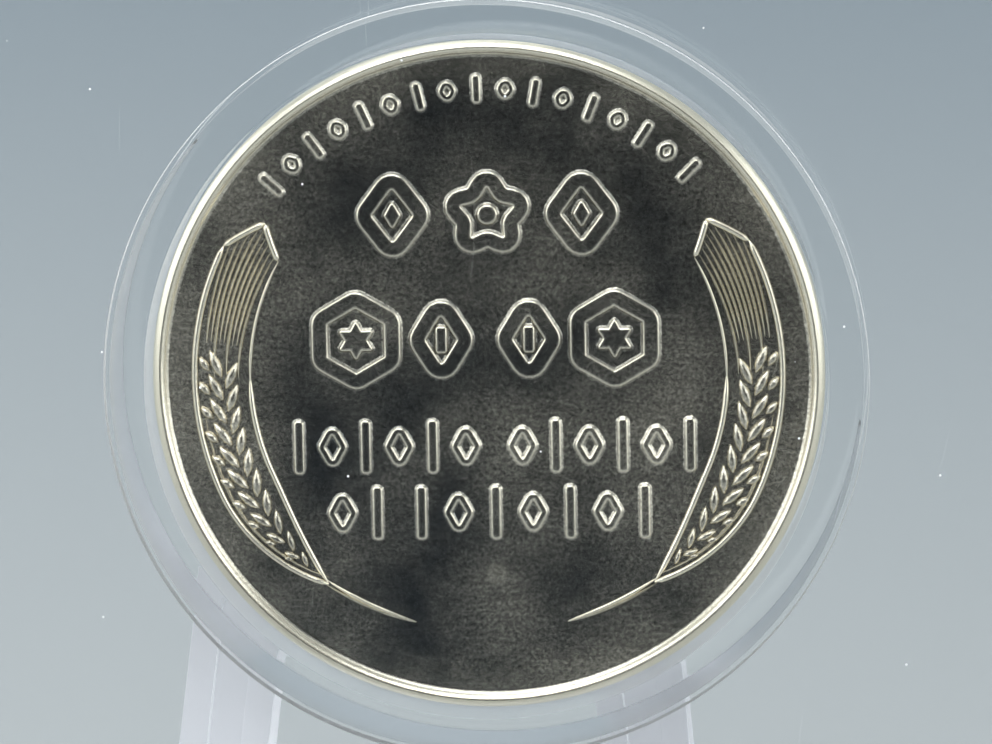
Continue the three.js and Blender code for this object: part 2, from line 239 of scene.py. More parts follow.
def makeTonedSteel():
    look = coinLook
    finish, tree = newFinish("struck toned zinc steel")
    place = addNode(tree, "ShaderNodeAttribute", {"attribute_name": "place"}).outputs["Vector"]
    # this attribute brightens the rim and the upper edges of the marks: partly wear, partly painted highlight
    wearAndHighlight = addNode(tree, "ShaderNodeAttribute", {"attribute_name": "wearAndHighlight"}).outputs["Fac"]
    cloud = addNode(tree, "ShaderNodeTexNoise",
                    {"Scale": 1 / look["cloudSize"], "Detail": 5.0, "Roughness": 0.5}, {"Vector": place})
    grain = addNode(tree, "ShaderNodeTexNoise",
                    {"Scale": 1 / look["grainSize"], "Detail": 3.0, "Roughness": 0.75}, {"Vector": place})
    # metal flowed under the die: streaks longer across the face than up it
    stretch = (1 / look["flowLength"], 1 / look["flowWidth"], 1.0)
    drawn = addNode(tree, "ShaderNodeMapping", {"Scale": stretch}, {"Vector": place})
    flow = addNode(tree, "ShaderNodeTexNoise", {"Scale": 1.0, "Detail": 4.0, "Roughness": 0.55},
                   {"Vector": drawn.outputs["Vector"]})
    # painted reflection: the field's colour is paler towards the left and right of the coin
    axes = addNode(tree, "ShaderNodeSeparateXYZ", None, {"Vector": place})
    reach = addNode(tree, "ShaderNodeMath", {"operation": "ABSOLUTE"}, {0: axes.outputs["X"]})
    paintedReflection = addNode(tree, "ShaderNodeMapRange",
                    {"From Min": look["reflectionStart"], "From Max": look["reflectionEnd"], "To Max": look["reflectionShare"]},
                    {"Value": reach.outputs["Value"]})
    cloudAndReflection = addNode(tree, "ShaderNodeMath", {"operation": "ADD"},
                    {0: cloud.outputs["Fac"], 1: paintedReflection.outputs["Result"]})
    toned = ramp(tree, cloudAndReflection.outputs["Value"], [(look["darkStop"], linear(look["dark"])),
                                                (look["cloudStop"], linear(look["cloud"]))])
    pitted = addNode(tree, "ShaderNodeMapRange",
                     {"From Min": 0.32, "From Max": 0.68, "To Min": look["grainLow"],
                      "To Max": look["grainHigh"]},
                     {"Value": grain.outputs["Fac"]})
    speckled = addNode(tree, "ShaderNodeMix", {"data_type": "RGBA", "blend_type": "OVERLAY", "Factor": 1.0},
                       {"A": toned, "B": pitted.outputs["Result"]})
    streaked = addNode(tree, "ShaderNodeMix",
                       {"data_type": "RGBA", "blend_type": "OVERLAY", "Factor": look["flowShare"]},
                       {"A": speckled.outputs["Result"], "B": flow.outputs["Fac"]})
    # one small pale toning spot, soft at its edge
    away = addNode(tree, "ShaderNodeVectorMath", {"operation": "DISTANCE", 1: look["spotPlace"]}, {0: place})
    spot = addNode(tree, "ShaderNodeMapRange",
                   {"From Min": look["spotSize"], "From Max": look["spotCore"] * look["spotSize"],
                    "To Max": look["spotShare"]}, {"Value": away.outputs["Value"]})
    brightened = addNode(tree, "ShaderNodeMath", {"operation": "MAXIMUM"},
                         {0: wearAndHighlight, 1: spot.outputs["Result"]})
    coloured = addNode(tree, "ShaderNodeMix", {"data_type": "RGBA", "B": linear(look["bright"])},
                       {"Factor": brightened.outputs["Value"], "A": streaked.outputs["Result"]})
    rough = addNode(tree, "ShaderNodeMapRange",
                    {"From Min": 0.3, "From Max": 0.7, "To Min": look["edgeRough"],
                     "To Max": look["fieldRough"]},
                    {"Value": cloud.outputs["Fac"]})
    struck = addNode(tree, "ShaderNodeMath", {"operation": "ADD"},
                     {0: grain.outputs["Fac"], 1: flow.outputs["Fac"]})
    bump = addNode(tree, "ShaderNodeBump", {"Strength": look["bump"], "Distance": look["bumpDepth"]},
                   {"Height": struck.outputs["Value"]})
    finishWith(tree, {"Metallic": 1.0}, {"Base Color": coloured.outputs["Result"],
                                        "Roughness": rough.outputs["Result"],
                                        "Normal": bump.outputs["Normal"]})
    return finish


# Injection-moulded clear polystyrene: glassy, with faint hairlines and settled dust on the cover.
shellLook = dict(tint="#fbfdfd", ior=1.59, rough=0.015, smearSize=4.0, smearGain=2.5, mattRough=0.5,
                 clear=1.0, dustCell=1.5, dustSize=0.022, scratchGap=9.0, scratchWander=9.0,
                 scratchWidth=0.00025, scratchRough=0.25)


def makeClearPlastic(name, look, dusty):
    finish, tree = newFinish(name)
    place = addNode(tree, "ShaderNodeAttribute", {"attribute_name": "place"}).outputs["Vector"]
    settings = {"Base Color": linear(look["tint"]), "IOR": look["ior"], "Transmission Weight": look["clear"]}
    smear = addNode(tree, "ShaderNodeTexNoise", {"Scale": 1 / look["smearSize"], "Detail": 4.0},
                    {"Vector": place})
    rough = addNode(tree, "ShaderNodeMapRange",
                    {"From Min": 0.35, "From Max": 0.7, "To Min": look["rough"],
                     "To Max": look["rough"] * look["smearGain"]}, {"Value": smear.outputs["Fac"]})
    # the seats' and the ring's walls keep the mould's fine matt finish
    matt = addNode(tree, "ShaderNodeAttribute", {"attribute_name": "matt"}).outputs["Fac"]
    rough = addNode(tree, "ShaderNodeMapRange", {"To Max": look["mattRough"]},
                    {"Value": matt, "To Min": rough.outputs["Result"]})
    links = {"Roughness": rough.outputs["Result"]}
    if dusty:
        cells = addNode(tree, "ShaderNodeTexVoronoi", {"Scale": 1 / look["dustCell"]}, {"Vector": place})
        dust = addNode(tree, "ShaderNodeMath", {"operation": "LESS_THAN", 1: look["dustSize"]},
                       {0: cells.outputs["Distance"]})
        clear = addNode(tree, "ShaderNodeMath", {"operation": "SUBTRACT", 0: 1.0}, {1: dust.outputs["Value"]})
        # long wandering hairlines, broken up where the smear's noise is low
        sweep = addNode(tree, "ShaderNodeTexWave",
                        {"Scale": 1 / look["scratchGap"], "Distortion": look["scratchWander"], "Detail": 1.0,
                         "Detail Scale": 0.4}, {"Vector": place})
        hair = addNode(tree, "ShaderNodeMath", {"operation": "GREATER_THAN", 1: 1 - look["scratchWidth"]},
                       {0: sweep.outputs["Fac"]})
        broken = addNode(tree, "ShaderNodeMapRange",
                         {"From Min": 0.56, "From Max": 0.7, "To Max": look["scratchRough"]},
                         {"Value": smear.outputs["Fac"]})
        hairline = addNode(tree, "ShaderNodeMath", {"operation": "MULTIPLY"},
                           {0: hair.outputs["Value"], 1: broken.outputs["Result"]})
        marked = addNode(tree, "ShaderNodeMath", {"operation": "MAXIMUM"},
                         {0: hairline.outputs["Value"], 1: dust.outputs["Value"]})
        rougher = addNode(tree, "ShaderNodeMath", {"operation": "MAXIMUM"},
                          {0: rough.outputs["Result"], 1: marked.outputs["Value"]})
        links = {"Roughness": rougher.outputs["Value"], "Transmission Weight": clear.outputs["Value"]}
    finishWith(tree, settings, links)
    return finish


tonedSteel = makeTonedSteel()
clearShell = makeClearPlastic("moulded clear polystyrene shell", shellLook, False)
clearCover = makeClearPlastic("moulded clear polystyrene cover", shellLook, True)
# Soft clear silicone: it hardly shows between the windows, so its index sits well under the usual 1.41.
ringLook = dict(shellLook, tint="#fbfcfc", ior=1.2, rough=0.03)
clearRing = makeClearPlastic("moulded clear silicone ring", ringLook, False)
# The same styrene from a duller mould: milky, so its prongs show paler than what is behind them.
standLook = dict(shellLook, tint="#f6f5fa", ior=1.5, rough=0.4, clear=0.55)
clearStand = makeClearPlastic("moulded frosted polystyrene stand", standLook, False)
print("materials made")

# capsule halves and ring, in millimetres
capsule = dict(half=25.4, halfDepth=3.175, corner=4.6, cavityHalf=23.2, windowInner=1.475,
               windowOuter=2.675, recessHalf=21.4, recessEdge=0.12, recessRim=0.16, backEdge=0.35,
               frontEdge=0.28, cavityEdge=0.22, cavityFoot=0.3, seatRadius=10.755, seatDepth=0.5,
               seatEdge=0.012, notchHalf=4.5, notchDepth=0.9)
cover = dict(half=23.0, corner=3.0, foot=-1.275, skirtInner=22.0, edge=0.2)
sockets = dict(offset=19.78, outer=1.92, bore=1.12, foot=-1.455, top=0.425, floor=-1.175)
pegs = dict(radius=1.0, tip=-0.825, root=1.455, edge=0.25, core=0.3)


def cornerPlaces(offset):
    # the four corners of a square
    return [(x * offset, y * offset) for x, y in ((1, 1), (-1, 1), (-1, -1), (1, -1))]


def flatToDisc(grid, radius, height):
    # carries a rounded square on to a circle in the same plane, with a narrow flat run at both ends
    last = grid[-1]
    disc = lifted(discRing(radius), height)
    narrow = last + 0.01 * (disc - last)
    wide = lifted(discRing(radius + 0.1), height)
    return np.concatenate([grid, narrow[None], wide[None]])


def seatGrid(inner, height, depth):
    # the round seat for the ring: down its wall and in to its flat floor
    profile = softLine([[inner + 0.1, height], [inner, height], [inner, height + depth],
                        [inner - 1.0, height + depth]], capsule["seatEdge"], 3, 0.02)
    return np.stack([lifted(discRing(radius), tall) for radius, tall in profile[1:]])


def mattWalls(grids, radius, within=0.004):
    # how matt each point is: 1 on the round wall of this radius, 0 elsewhere
    return [(np.abs(np.hypot(grid[..., 0], grid[..., 1]) - radius) < within).astype(float)
            for grid, _ in grids]


def pryNotch(grid):
    # a scoop in the right-hand rim: its depth is the square root of a cosine, and the rim is cut to it
    along = np.clip(np.abs(grid[..., 1]) / capsule["notchHalf"], 0, 1)
    scoop = capsule["notchDepth"] * np.cos(along * math.pi / 2) ** 0.5
    limit = capsule["halfDepth"] - scoop
    onSide = grid[..., 0] > capsule["cavityHalf"] - 0.5
    grid[..., 2] = np.where(onSide, np.minimum(grid[..., 2], limit), grid[..., 2])
    return grid


def makeBackShell():
    # one section, from the recessed outside window over the rim to the inside one, then the seat
    size, post = capsule, sockets
    recess, side, cavity = size["recessHalf"], size["half"], size["cavityHalf"]
    depth = size["halfDepth"]
    walls = softLine([[recess - 0.4, -size["windowOuter"]], [recess, -size["windowOuter"]], [recess, -depth],
                      [side, -depth], [side, depth], [cavity, depth], [cavity, -size["windowInner"]],
                      [cavity - 1, -size["windowInner"]]],
                     [0, size["recessEdge"], size["recessRim"], size["backEdge"], size["frontEdge"],
                      size["cavityEdge"], size["cavityFoot"], 0])
    grid = squareGrid(walls, side, size["corner"])
    grid = flatToDisc(grid, size["seatRadius"], -size["windowInner"])
    grid = np.concatenate([grid, seatGrid(size["seatRadius"], -size["windowInner"], -size["seatDepth"])])
    grids = [(pryNotch(grid), False)]
    section = softLoop([[post["bore"], post["floor"]], [post["bore"], post["top"]],
                        [post["outer"], post["top"]], [post["outer"], post["foot"]], [0.02, post["foot"]],
                        [0.02, post["floor"]]], 0.01, steps=2)
    for place in cornerPlaces(post["offset"]):
        grids.append((turnedGrid(section, 40, place), True))
    return makePiece("backShell", grids, clearShell, "capsule", "back_shell",
                     mattWalls(grids, size["seatRadius"]), "matt")


def makeFrontCover():
    # the same for the half that drops in, its skirt reaching back to the cover's foot
    size, depth, edge = capsule, capsule["halfDepth"], cover["edge"]
    recess, side, skirt = size["recessHalf"], cover["half"], cover["skirtInner"]
    walls = softLine([[recess - 0.3, size["windowOuter"]], [recess, size["windowOuter"]], [recess, depth],
                      [side, depth], [side, cover["foot"]], [skirt, cover["foot"]],
                      [skirt, size["windowInner"]], [skirt - 1, size["windowInner"]]],
                     [0, size["recessEdge"], size["recessRim"], edge, edge, edge, size["cavityFoot"], 0])
    grid = squareGrid(walls, side, cover["corner"])
    grid = flatToDisc(grid, size["seatRadius"], size["windowInner"])
    grid = np.concatenate([grid, seatGrid(size["seatRadius"], size["windowInner"], size["seatDepth"])])
    grids = [(grid, False)]
    section = softLine([[pegs["core"], pegs["tip"]], [pegs["radius"], pegs["tip"]],
                        [pegs["radius"], pegs["root"]], [pegs["core"], pegs["root"]]],
                       [0, pegs["edge"], 0.01, 0])
    for place in cornerPlaces(sockets["offset"]):
        grids.append((turnedGrid(section, 40, place), False))
    return makePiece("frontCover", grids, clearCover, "cover", "front_cover",
                     mattWalls(grids, size["seatRadius"]), "matt")


ring = dict(outer=10.605, bore=9.625, lip=9.175, half=1.825, lipTop=-0.91, edge=0.03, wallMatt=0.7)


def makeCoinRing():
    # an upright band with a thin lip inward behind the coin's rim, carried round a circle
    outer, bore, lip, half, lipTop = (ring[key] for key in ("outer", "bore", "lip", "half", "lipTop"))
    section = softLoop([[outer, -half], [outer, half], [bore, half], [bore, lipTop], [lip, lipTop],
                        [lip, -half]], ring["edge"], steps=4)
    grids = [(turnedGrid(section, 240), True)]
    matt = [ring["wallMatt"] * (onOuter + onBore)
            for onOuter, onBore in zip(mattWalls(grids, outer), mattWalls(grids, bore))]
    return makePiece("coinRing", grids, clearRing, "ring", "coin_ring", matt, "matt")


backShell = makeBackShell()
frontCover = makeFrontCover()
coinRing = makeCoinRing()
for piece in (backShell, frontCover, coinRing):
    piece.visible_shadow = piece.visible_diffuse = False  # light passes through clear plastic to the coin

# coin, in millimetres and degrees
coin = dict(radius=9.525, half=0.76, rimWidth=0.4, slope=0.06, fieldDepth=0.18, crown=0.13, turn=1.9,
            relief=0.1, slopeWidth=0.1, rimWearAndHighlight=0.95, rubbedFrom=8.2, rubbedOver=0.8, fieldWorn=0.12)


def softPolygon(corners, grow, radius, steps=6):
    # a polygon grown outward, each corner an arc: its centre is corner - side*radius*mitre, and its
    # points lie side*radius + grow away along a normal that swings from one edge's to the next one's;
    # a radius too small for the growth is raised until the arc can't turn inside out
    ahead = np.roll(corners, -1, 0) - corners
    ahead /= np.linalg.norm(ahead, axis=1, keepdims=True)
    back = np.roll(ahead, 1, 0)
    firstNormal = np.stack([back[:, 1], -back[:, 0]], 1)
    lastNormal = np.stack([ahead[:, 1], -ahead[:, 0]], 1)
    side = np.sign(back[:, 0] * ahead[:, 1] - back[:, 1] * ahead[:, 0] + 1e-12)[:, None]
    mitre = (firstNormal + lastNormal) / (1 + (firstNormal * lastNormal).sum(1, keepdims=True))
    radius = np.maximum(radius, 0.004 - side * grow)
    centre = corners - side * radius * mitre
    firstAngle = np.arctan2(firstNormal[:, 1], firstNormal[:, 0])[:, None]
    lastAngle = np.arctan2(lastNormal[:, 1], lastNormal[:, 0])[:, None]
    swing = (lastAngle - firstAngle + math.pi) % (2 * math.pi) - math.pi
    angle = firstAngle + swing * np.linspace(0, 1, steps)[None]
    normal = np.stack([np.cos(angle), np.sin(angle)], 2)
    return (centre[:, None] + (side * radius + grow)[:, None] * normal).reshape(-1, 2)


def spun(points, degrees):
    # points turned about their origin
    angle = math.radians(degrees)
    across = np.array([math.cos(angle), math.sin(angle)])
    along = np.array([-math.sin(angle), math.cos(angle)])
    return points[..., 0:1] * across + points[..., 1:2] * along


# each flank is (outward distance in slope widths, height in reliefs, how worn and how brightly painted as
# highlight)
flank = np.array([[1.0, -0.4, 0.0], [1.0, 0.0, 0.0], [0.74, 0.12, 0.05], [0.34, 0.64, 0.5],
                  [0.04, 0.92, 0.75], [-0.25, 0.99, 0.3], [-0.7, 1.0, 0.0]])


class Relief:
    # what is raised on one face: grids of points, and how worn and how brightly painted as highlight each
    # point is

    def __init__(self, field):
        self.field, self.grids, self.marks = field, [], []

    def add(self, rings, heights, wearAndHighlight, wrapped):
        grid = np.stack([lifted(points, self.field + coin["relief"] * height)
                         for points, height in zip(rings, heights)])
        self.grids.append((grid, wrapped))
        self.marks.append(np.repeat(np.array(wearAndHighlight)[:, None], grid.shape[1], 1))

    def mesa(self, corners, centre, degrees=0, radius=0.1, tall=1.0):
        # a flat-topped mark: its outline stepped up the flank
        where = np.array(centre)
        rings = [spun(softPolygon(corners, grow * coin["slopeWidth"], radius), degrees) + where
                 for grow in flank[:, 0]]
        self.add(rings, flank[:, 1] * tall, flank[:, 2], False)

    def ridge(self, corners, centre, halfWidth, degrees=0, radius=0.3, tall=1.0):
        # a raised line round a closed outline: up the outer flank and down the inner one
        where = np.array(centre)
        out = halfWidth + coin["slopeWidth"] * flank[:, 0]
        grows = np.concatenate([out, -out[::-1]])
        heights = np.concatenate([flank[:, 1], flank[::-1, 1]]) * tall
        wearAndHighlight = np.concatenate([flank[:, 2], flank[::-1, 2]])
        rings = [spun(softPolygon(corners, grow, radius), degrees) + where for grow in grows]
        self.add(rings, heights, wearAndHighlight, True)

    def thread(self, path, halfWidth, tall=1.0, ends=0.12):
        # a fine raised line along an open path: a round section that narrows at both ends
        ahead = np.gradient(path, axis=0)
        ahead /= np.linalg.norm(ahead, axis=1, keepdims=True)
        normal = np.stack([ahead[:, 1], -ahead[:, 0]], 1)
        share = np.linspace(0, 1, len(path))
        narrow = np.clip(np.minimum(share, 1 - share) / ends, 0.04, 1) ** 0.5
        turn = np.linspace(0, 2 * math.pi, 10, endpoint=False)
        across = halfWidth * np.cos(turn)[None, :, None] * narrow[:, None, None] * normal[:, None]
        tallness = self.field + coin["relief"] * tall * narrow[:, None] * np.sin(turn)[None]
        grid = np.concatenate([path[:, None] + across, tallness[..., None]], 2)
        self.grids.append((grid, False))
        # the upper half of the round section is painted bright: wear and painted highlight
        self.marks.append(np.tile(np.clip(np.sin(turn) * 1.6, 0, 1)[None], (len(path), 1)))

    def kernel(self, centre, way, length, width, tall=1.0):
        # a grain lying along a direction: a pointed oval, stepped in and up into a dome
        corners = np.array([[0, -0.5], [0.42, -0.22], [0.5, 0.05], [0.3, 0.32], [0, 0.5], [-0.3, 0.32],
                            [-0.5, 0.05], [-0.42, -0.22]]) * [width, length]
        edge = softPolygon(corners, 0.0, 0.04, 4)
        sizes, heights = [1.0, 1.0, 0.84, 0.6, 0.34, 0.06], [-0.4, 0.0, 0.5, 0.86, 1.06, 1.12]
        frameWays = np.array([[way[1], -way[0]], way])
        rings = [edge * size @ frameWays + centre for size in sizes]
        # the dome's middle rings are painted bright: wear and painted highlight
        self.add(rings, np.array(heights) * tall, [0, 0.1, 0.6, 0.5, 0.2, 0.1], False)


def lozengeCorners(width, height):
    # a square stood on its corner and drawn to this width and height
    return np.array([[width / 2, 0], [0, height / 2], [-width / 2, 0], [0, -height / 2]])


def barCorners(width, height):
    # an upright oblong
    return np.array([[width / 2, -height / 2], [width / 2, height / 2], [-width / 2, height / 2],
                     [-width / 2, -height / 2]])


def evenCorners(size, count):
    # a regular outline with its first corner at the top
    angle = np.radians(90 + np.arange(count) * 360 / count)
    return size / 2 * np.stack([np.cos(angle), np.sin(angle)], 1)


def starCorners(size, tips, waist):
    # corners by turns at the full radius and at a share of it, the waist, with a tip at the top
    reach = np.where(np.arange(2 * tips) % 2 == 0, 0.5, 0.5 * waist) * size
    angle = math.pi / 2 + np.arange(2 * tips) * math.pi / tips
    return reach[:, None] * np.stack([np.cos(angle), np.sin(angle)], 1)


marks = dict(bigUp=4.6, bigLow=1.05, tall=2.66, stroke=0.5, upperSides=(-2.62, 2.72), upperMiddle=0.06,
             lowerSides=(-3.72, 3.6), lowerMiddles=(-1.3, 1.18), broad=0.8, slim=0.66, lozengeTall=1.06,
             starSize=1.16, hexagonSize=1.1, smallTall=1.46, smallStroke=0.24,
             smallRows=((6, -5.4, -0.65, -2.0, True), (6, 0.95, 5.7, -2.0, False),
                        (2, -4.2, -3.2, -3.9, False), (7, -1.95, 4.4, -3.9, True)),
             arcRadius=8.15, arcTall=0.74, arcFirst=137.6, arcSpan=92.5, arcCount=17)
ear = dict(radius=7.54, half=0.79, crown=146.5, awnFoot=177, foot=204, tip=232, awnCount=9, awnFirst=-0.64,
           awnGap=0.16, kernelRows=10, kernelGap=5.0)
reverse = dict(starSize=8.4, coreSize=4.6, tips=8, lozenges=24, lozengeRadius=7.6)


def drawOutline(relief, corners, place, stroke, cornerRadius):
    # a raised line round a plain shape
    relief.ridge(corners, place, stroke / 2 - coin["slopeWidth"] * 0.5, radius=cornerRadius)


def addBigMarks(relief):
    # an upper row of lozenge, star, lozenge, and a lower one of hexagon, two lozenges, hexagon
    stroke = marks["stroke"]
    reach = marks["tall"] - stroke
    lozengeTall = marks["lozengeTall"] * reach
    for across in marks["upperSides"]:
        place = np.array([across, marks["bigUp"]])
        drawOutline(relief, lozengeCorners(marks["broad"] * reach, lozengeTall), place, stroke, 0.3)
        relief.mesa(lozengeCorners(0.42, 0.74), place, radius=0.05)
    place = np.array([marks["upperMiddle"], marks["bigUp"]])
    drawOutline(relief, starCorners(marks["starSize"] * reach, 5, 0.55), place, stroke, 0.26)
    relief.mesa(evenCorners(0.5, 16), place, radius=0.08)
    for across in marks["lowerSides"]:
        place = np.array([across, marks["bigLow"]])
        drawOutline(relief, evenCorners(marks["hexagonSize"] * reach, 6), place, stroke, 0.26)
        relief.mesa(starCorners(1.06, 6, 0.56), place, radius=0.03)
    for across in marks["lowerMiddles"]:
        place = np.array([across, marks["bigLow"]])
        drawOutline(relief, lozengeCorners(marks["slim"] * reach, lozengeTall), place, stroke, 0.3)
        relief.mesa(barCorners(0.26, 0.7), place, radius=0.06)


def addSmallRow(relief, count, first, last, up, barFirst):
    # bars and lozenges by turns, evenly from the first place across the coin to the last, at one height
    tall, stroke = marks["smallTall"], marks["smallStroke"]
    for i, across in enumerate(np.linspace(first, last, count)):
        place = np.array([across, up])
        if (i % 2 == 0) == barFirst:
            relief.mesa(barCorners(0.9 * stroke, tall), place, radius=0.08, tall=0.85)
        else:
            relief.ridge(lozengeCorners(0.44 * tall, 0.8 * tall), place, 0.45 * stroke - 0.04, radius=0.13,
                         tall=0.85)


def addArcMarks(relief):
    # the same by turns, along an arc above the rest
    for i in range(marks["arcCount"]):
        degrees = marks["arcFirst"] - i * marks["arcSpan"] / (marks["arcCount"] - 1)
        angle = math.radians(degrees)
        place = marks["arcRadius"] * np.array([math.cos(angle), math.sin(angle)])
        if i % 2:
            relief.ridge(lozengeCorners(0.36, 0.62), place, 0.055, degrees - 90, 0.12, 0.8)
        else:
            relief.mesa(barCorners(0.17, marks["arcTall"]), place, degrees - 90, 0.07, 0.8)


def earPoint(degrees, offset, side):
    # a place on the ear, from an angle round the coin and a distance out from the ear's middle line
    angle, reach = np.radians(degrees), ear["radius"] + offset
    return np.stack([side * reach * np.cos(angle), reach * np.sin(angle)], -1)


def earHalf(degrees):
    # the ear's half width: full down to its foot, then closing to the stem as 1 - share^1.8
    close = np.clip((degrees - ear["foot"]) / (ear["tip"] - ear["foot"]), 0, 1)
    return ear["half"] * (1 - close ** 1.8)


def earLine(relief, first, last, offsets, side, halfWidth, height, ends):
    # a thread along the ear between two angles, its offset read in straight lines from (angles, offsets)
    run = np.linspace(first, last, 60)
    relief.thread(earPoint(run, np.interp(run, *offsets), side), halfWidth, height, ends)


def addEar(relief, side):
    # side 1 is the left-hand ear, which the angles are written for, and -1 mirrors it
    crown, tip, half, awnFoot = ear["crown"], ear["tip"], ear["half"], ear["awnFoot"]
    run = np.linspace(crown + 6.5, tip, 40)
    outer, inner = (run, earHalf(run)), (run, -earHalf(run))
    earLine(relief, crown + 6.5, tip, outer, side, 0.1, 1.3, 0.02)
    earLine(relief, 188, tip - 1, (run, earHalf(run) - 0.2), side, 0.06, 1.0, 0.3)
    earLine(relief, crown + 4, 182, inner, side, 0.055, 0.9, 0.2)
    earLine(relief, 180, tip, inner, side, 0.095, 1.2, 0.1)
    # the crown's two edges, as angle and offset
    edges = np.array([(crown + 6.5, half), (crown - 1.8, 0.1), (crown + 4, -half)])
    for first, last in zip(edges[:-1], edges[1:]):
        share = np.linspace(0, 1, 12)
        degrees = first[0] + share * (last[0] - first[0])
        offset = first[1] + share * (last[1] - first[1])
        relief.thread(earPoint(degrees, offset, side), 0.1, 1.25, 0.04)
    # awns, which lean in a little towards their foot
    for i in range(ear["awnCount"]):
        offset = ear["awnFirst"] + i * ear["awnGap"]
        top = np.interp(offset, edges[::-1, 1], edges[::-1, 0])
        last = awnFoot + 5 * math.cos(i * 2.1) - 2
        earLine(relief, top + 0.8, last, ([top, awnFoot], [offset, offset * 0.72]), side, 0.054, 1.0, 0.25)
    # each row is two kernels that lean apart and a smaller one outside, as offset, lean, length and width
    row = ((0.24, 26, 1.04, 0.34), (-0.32, -24, 1.04, 0.34), (0.66, 38, 0.6, 0.3))
    for i in range(ear["kernelRows"]):
        degrees = awnFoot + i * ear["kernelGap"]
        room = float(earHalf(np.array(degrees + 3.0)))
        size = min(1.0, 0.35 + 0.75 * room)
        for offset, lean, length, width in row:
            here = degrees + 2.5 * (offset < 0)
            angle, tilt = math.radians(here), math.radians(lean)
            down = np.array([-side * math.sin(angle), math.cos(angle)])
            out = np.array([side * math.cos(angle), math.sin(angle)])
            way = -down * math.cos(tilt) + out * math.sin(tilt)
            place = earPoint(np.array(here), offset * room, side)
            relief.kernel(place, way, length * size, width * size, 1.4)
    # two lines side by side that run together into the end of the stem, each a quadratic curve
    start = earPoint(np.array(tip - 0.5), 0.0, side)
    end = np.array([start[0] * 0.46, start[1] - 1.16])
    bend = np.array([start[0] * 0.75, start[1] - 0.76])
    share = np.linspace(0, 1, 30)[:, None]
    for apart, thick in ((0.06, 0.07), (-0.06, 0.06)):
        stem = (1 - share) ** 2 * start + 2 * share * (1 - share) * bend + share ** 2 * end
        stem = stem + np.array([0.3 * side, 1.0]) * apart * (1 - share) ** 0.5
        relief.thread(stem, thick, 1.0, 0.3)


def coinProfile():
    # half of the blank's section, from the middle of the front field to the middle of the edge; the
    # rim's top is a low arch: its height falls as the square of the distance from its middle
    half, crown, edge = coin["half"], coin["crown"], coin["radius"]
    field, inner = half - coin["fieldDepth"], edge - coin["rimWidth"]
    share = np.linspace(-1, 1, 13)
    arch = np.stack([(inner + edge) / 2 + share * (edge - inner - 0.04) / 2, half - crown * share ** 2], 1)
    inside = softLine([[0.5, field], [coin["rubbedFrom"], field], [8.6, field],
                       [inner - coin["slope"], field], arch[0]], 0.03, 4, 0.01)
    outside = softLine([arch[-1], [edge, half - crown - 0.05], [edge, 0]], 0.03, 4, 0.01)
    return np.concatenate([inside[:-1], arch, outside[1:]])


def coinBlank():
    # the section and its mirror image, turned; the rim is painted bright, partly as wear and partly as
    # painted highlight, and the field a little beside it is worn
    front = coinProfile()
    profile = np.concatenate([front, front[-2::-1] * [1, -1]])
    rimStart = coin["radius"] - coin["rimWidth"] - coin["slope"]
    onRim = np.clip((profile[:, 0] - rimStart - 0.02) / coin["slope"], 0, 1)
    rubbed = np.clip((profile[:, 0] - coin["rubbedFrom"]) / coin["rubbedOver"], 0, 1)
    wearAndHighlight = np.maximum(onRim * coin["rimWearAndHighlight"], rubbed * coin["fieldWorn"])
    return turnedGrid(profile, 256), np.repeat(wearAndHighlight[:, None], 256, 1)


def makeFrontRelief(field):
    # two rows of large marks, two of small ones, an arc above and an ear at each side
    front = Relief(field)
    addBigMarks(front)
    for row in marks["smallRows"]:
        addSmallRow(front, *row)
    addArcMarks(front)
    addEar(front, 1)
    addEar(front, -1)
    return front


def makeBackRelief(field):
    # a star in a circle of lozenges
    back = Relief(field)
    back.ridge(starCorners(reverse["starSize"], reverse["tips"], 0.55), (0, 0), 0.16, radius=0.36)
    back.mesa(starCorners(reverse["coreSize"], reverse["tips"], 0.5), (0, 0), 22.5, radius=0.12)
    for i in range(reverse["lozenges"]):
        degrees = i * 360 / reverse["lozenges"]
        angle = math.radians(degrees)
        place = reverse["lozengeRadius"] * np.array([math.cos(angle), math.sin(angle)])
        back.mesa(lozengeCorners(0.5, 0.95), place, degrees - 90, radius=0.12)
    return back


def makeCoin():
    # the blank and what is raised on its two faces, turned a little in its ring
    field = coin["half"] - coin["fieldDepth"]
    front, back = makeFrontRelief(field), makeBackRelief(field)
    blank, blankWearAndHighlight = coinBlank()
    flipped = [(grid * [-1, 1, -1], wrapped) for grid, wrapped in back.grids]
    grids = [(blank, False)] + front.grids + flipped
    angle = math.radians(coin["turn"])
    turn = np.array([[math.cos(angle), math.sin(angle), 0], [-math.sin(angle), math.cos(angle), 0],
                     [0, 0, 1]])
    grids = [(grid @ turn, wrapped) for grid, wrapped in grids]
    makePiece("coin", grids, tonedSteel, "coin", "coin",
              [blankWearAndHighlight] + front.marks + back.marks, "wearAndHighlight", 50)


makeCoin()

# display stand: its CAD body, with its edges rounded as the mould leaves them, in metres and degrees
stand = dict(mergeWithin=0.000002, flatWithin=1, edge=0.0002, edgeSteps=3, edgeAngle=30, sharpAngle=35)


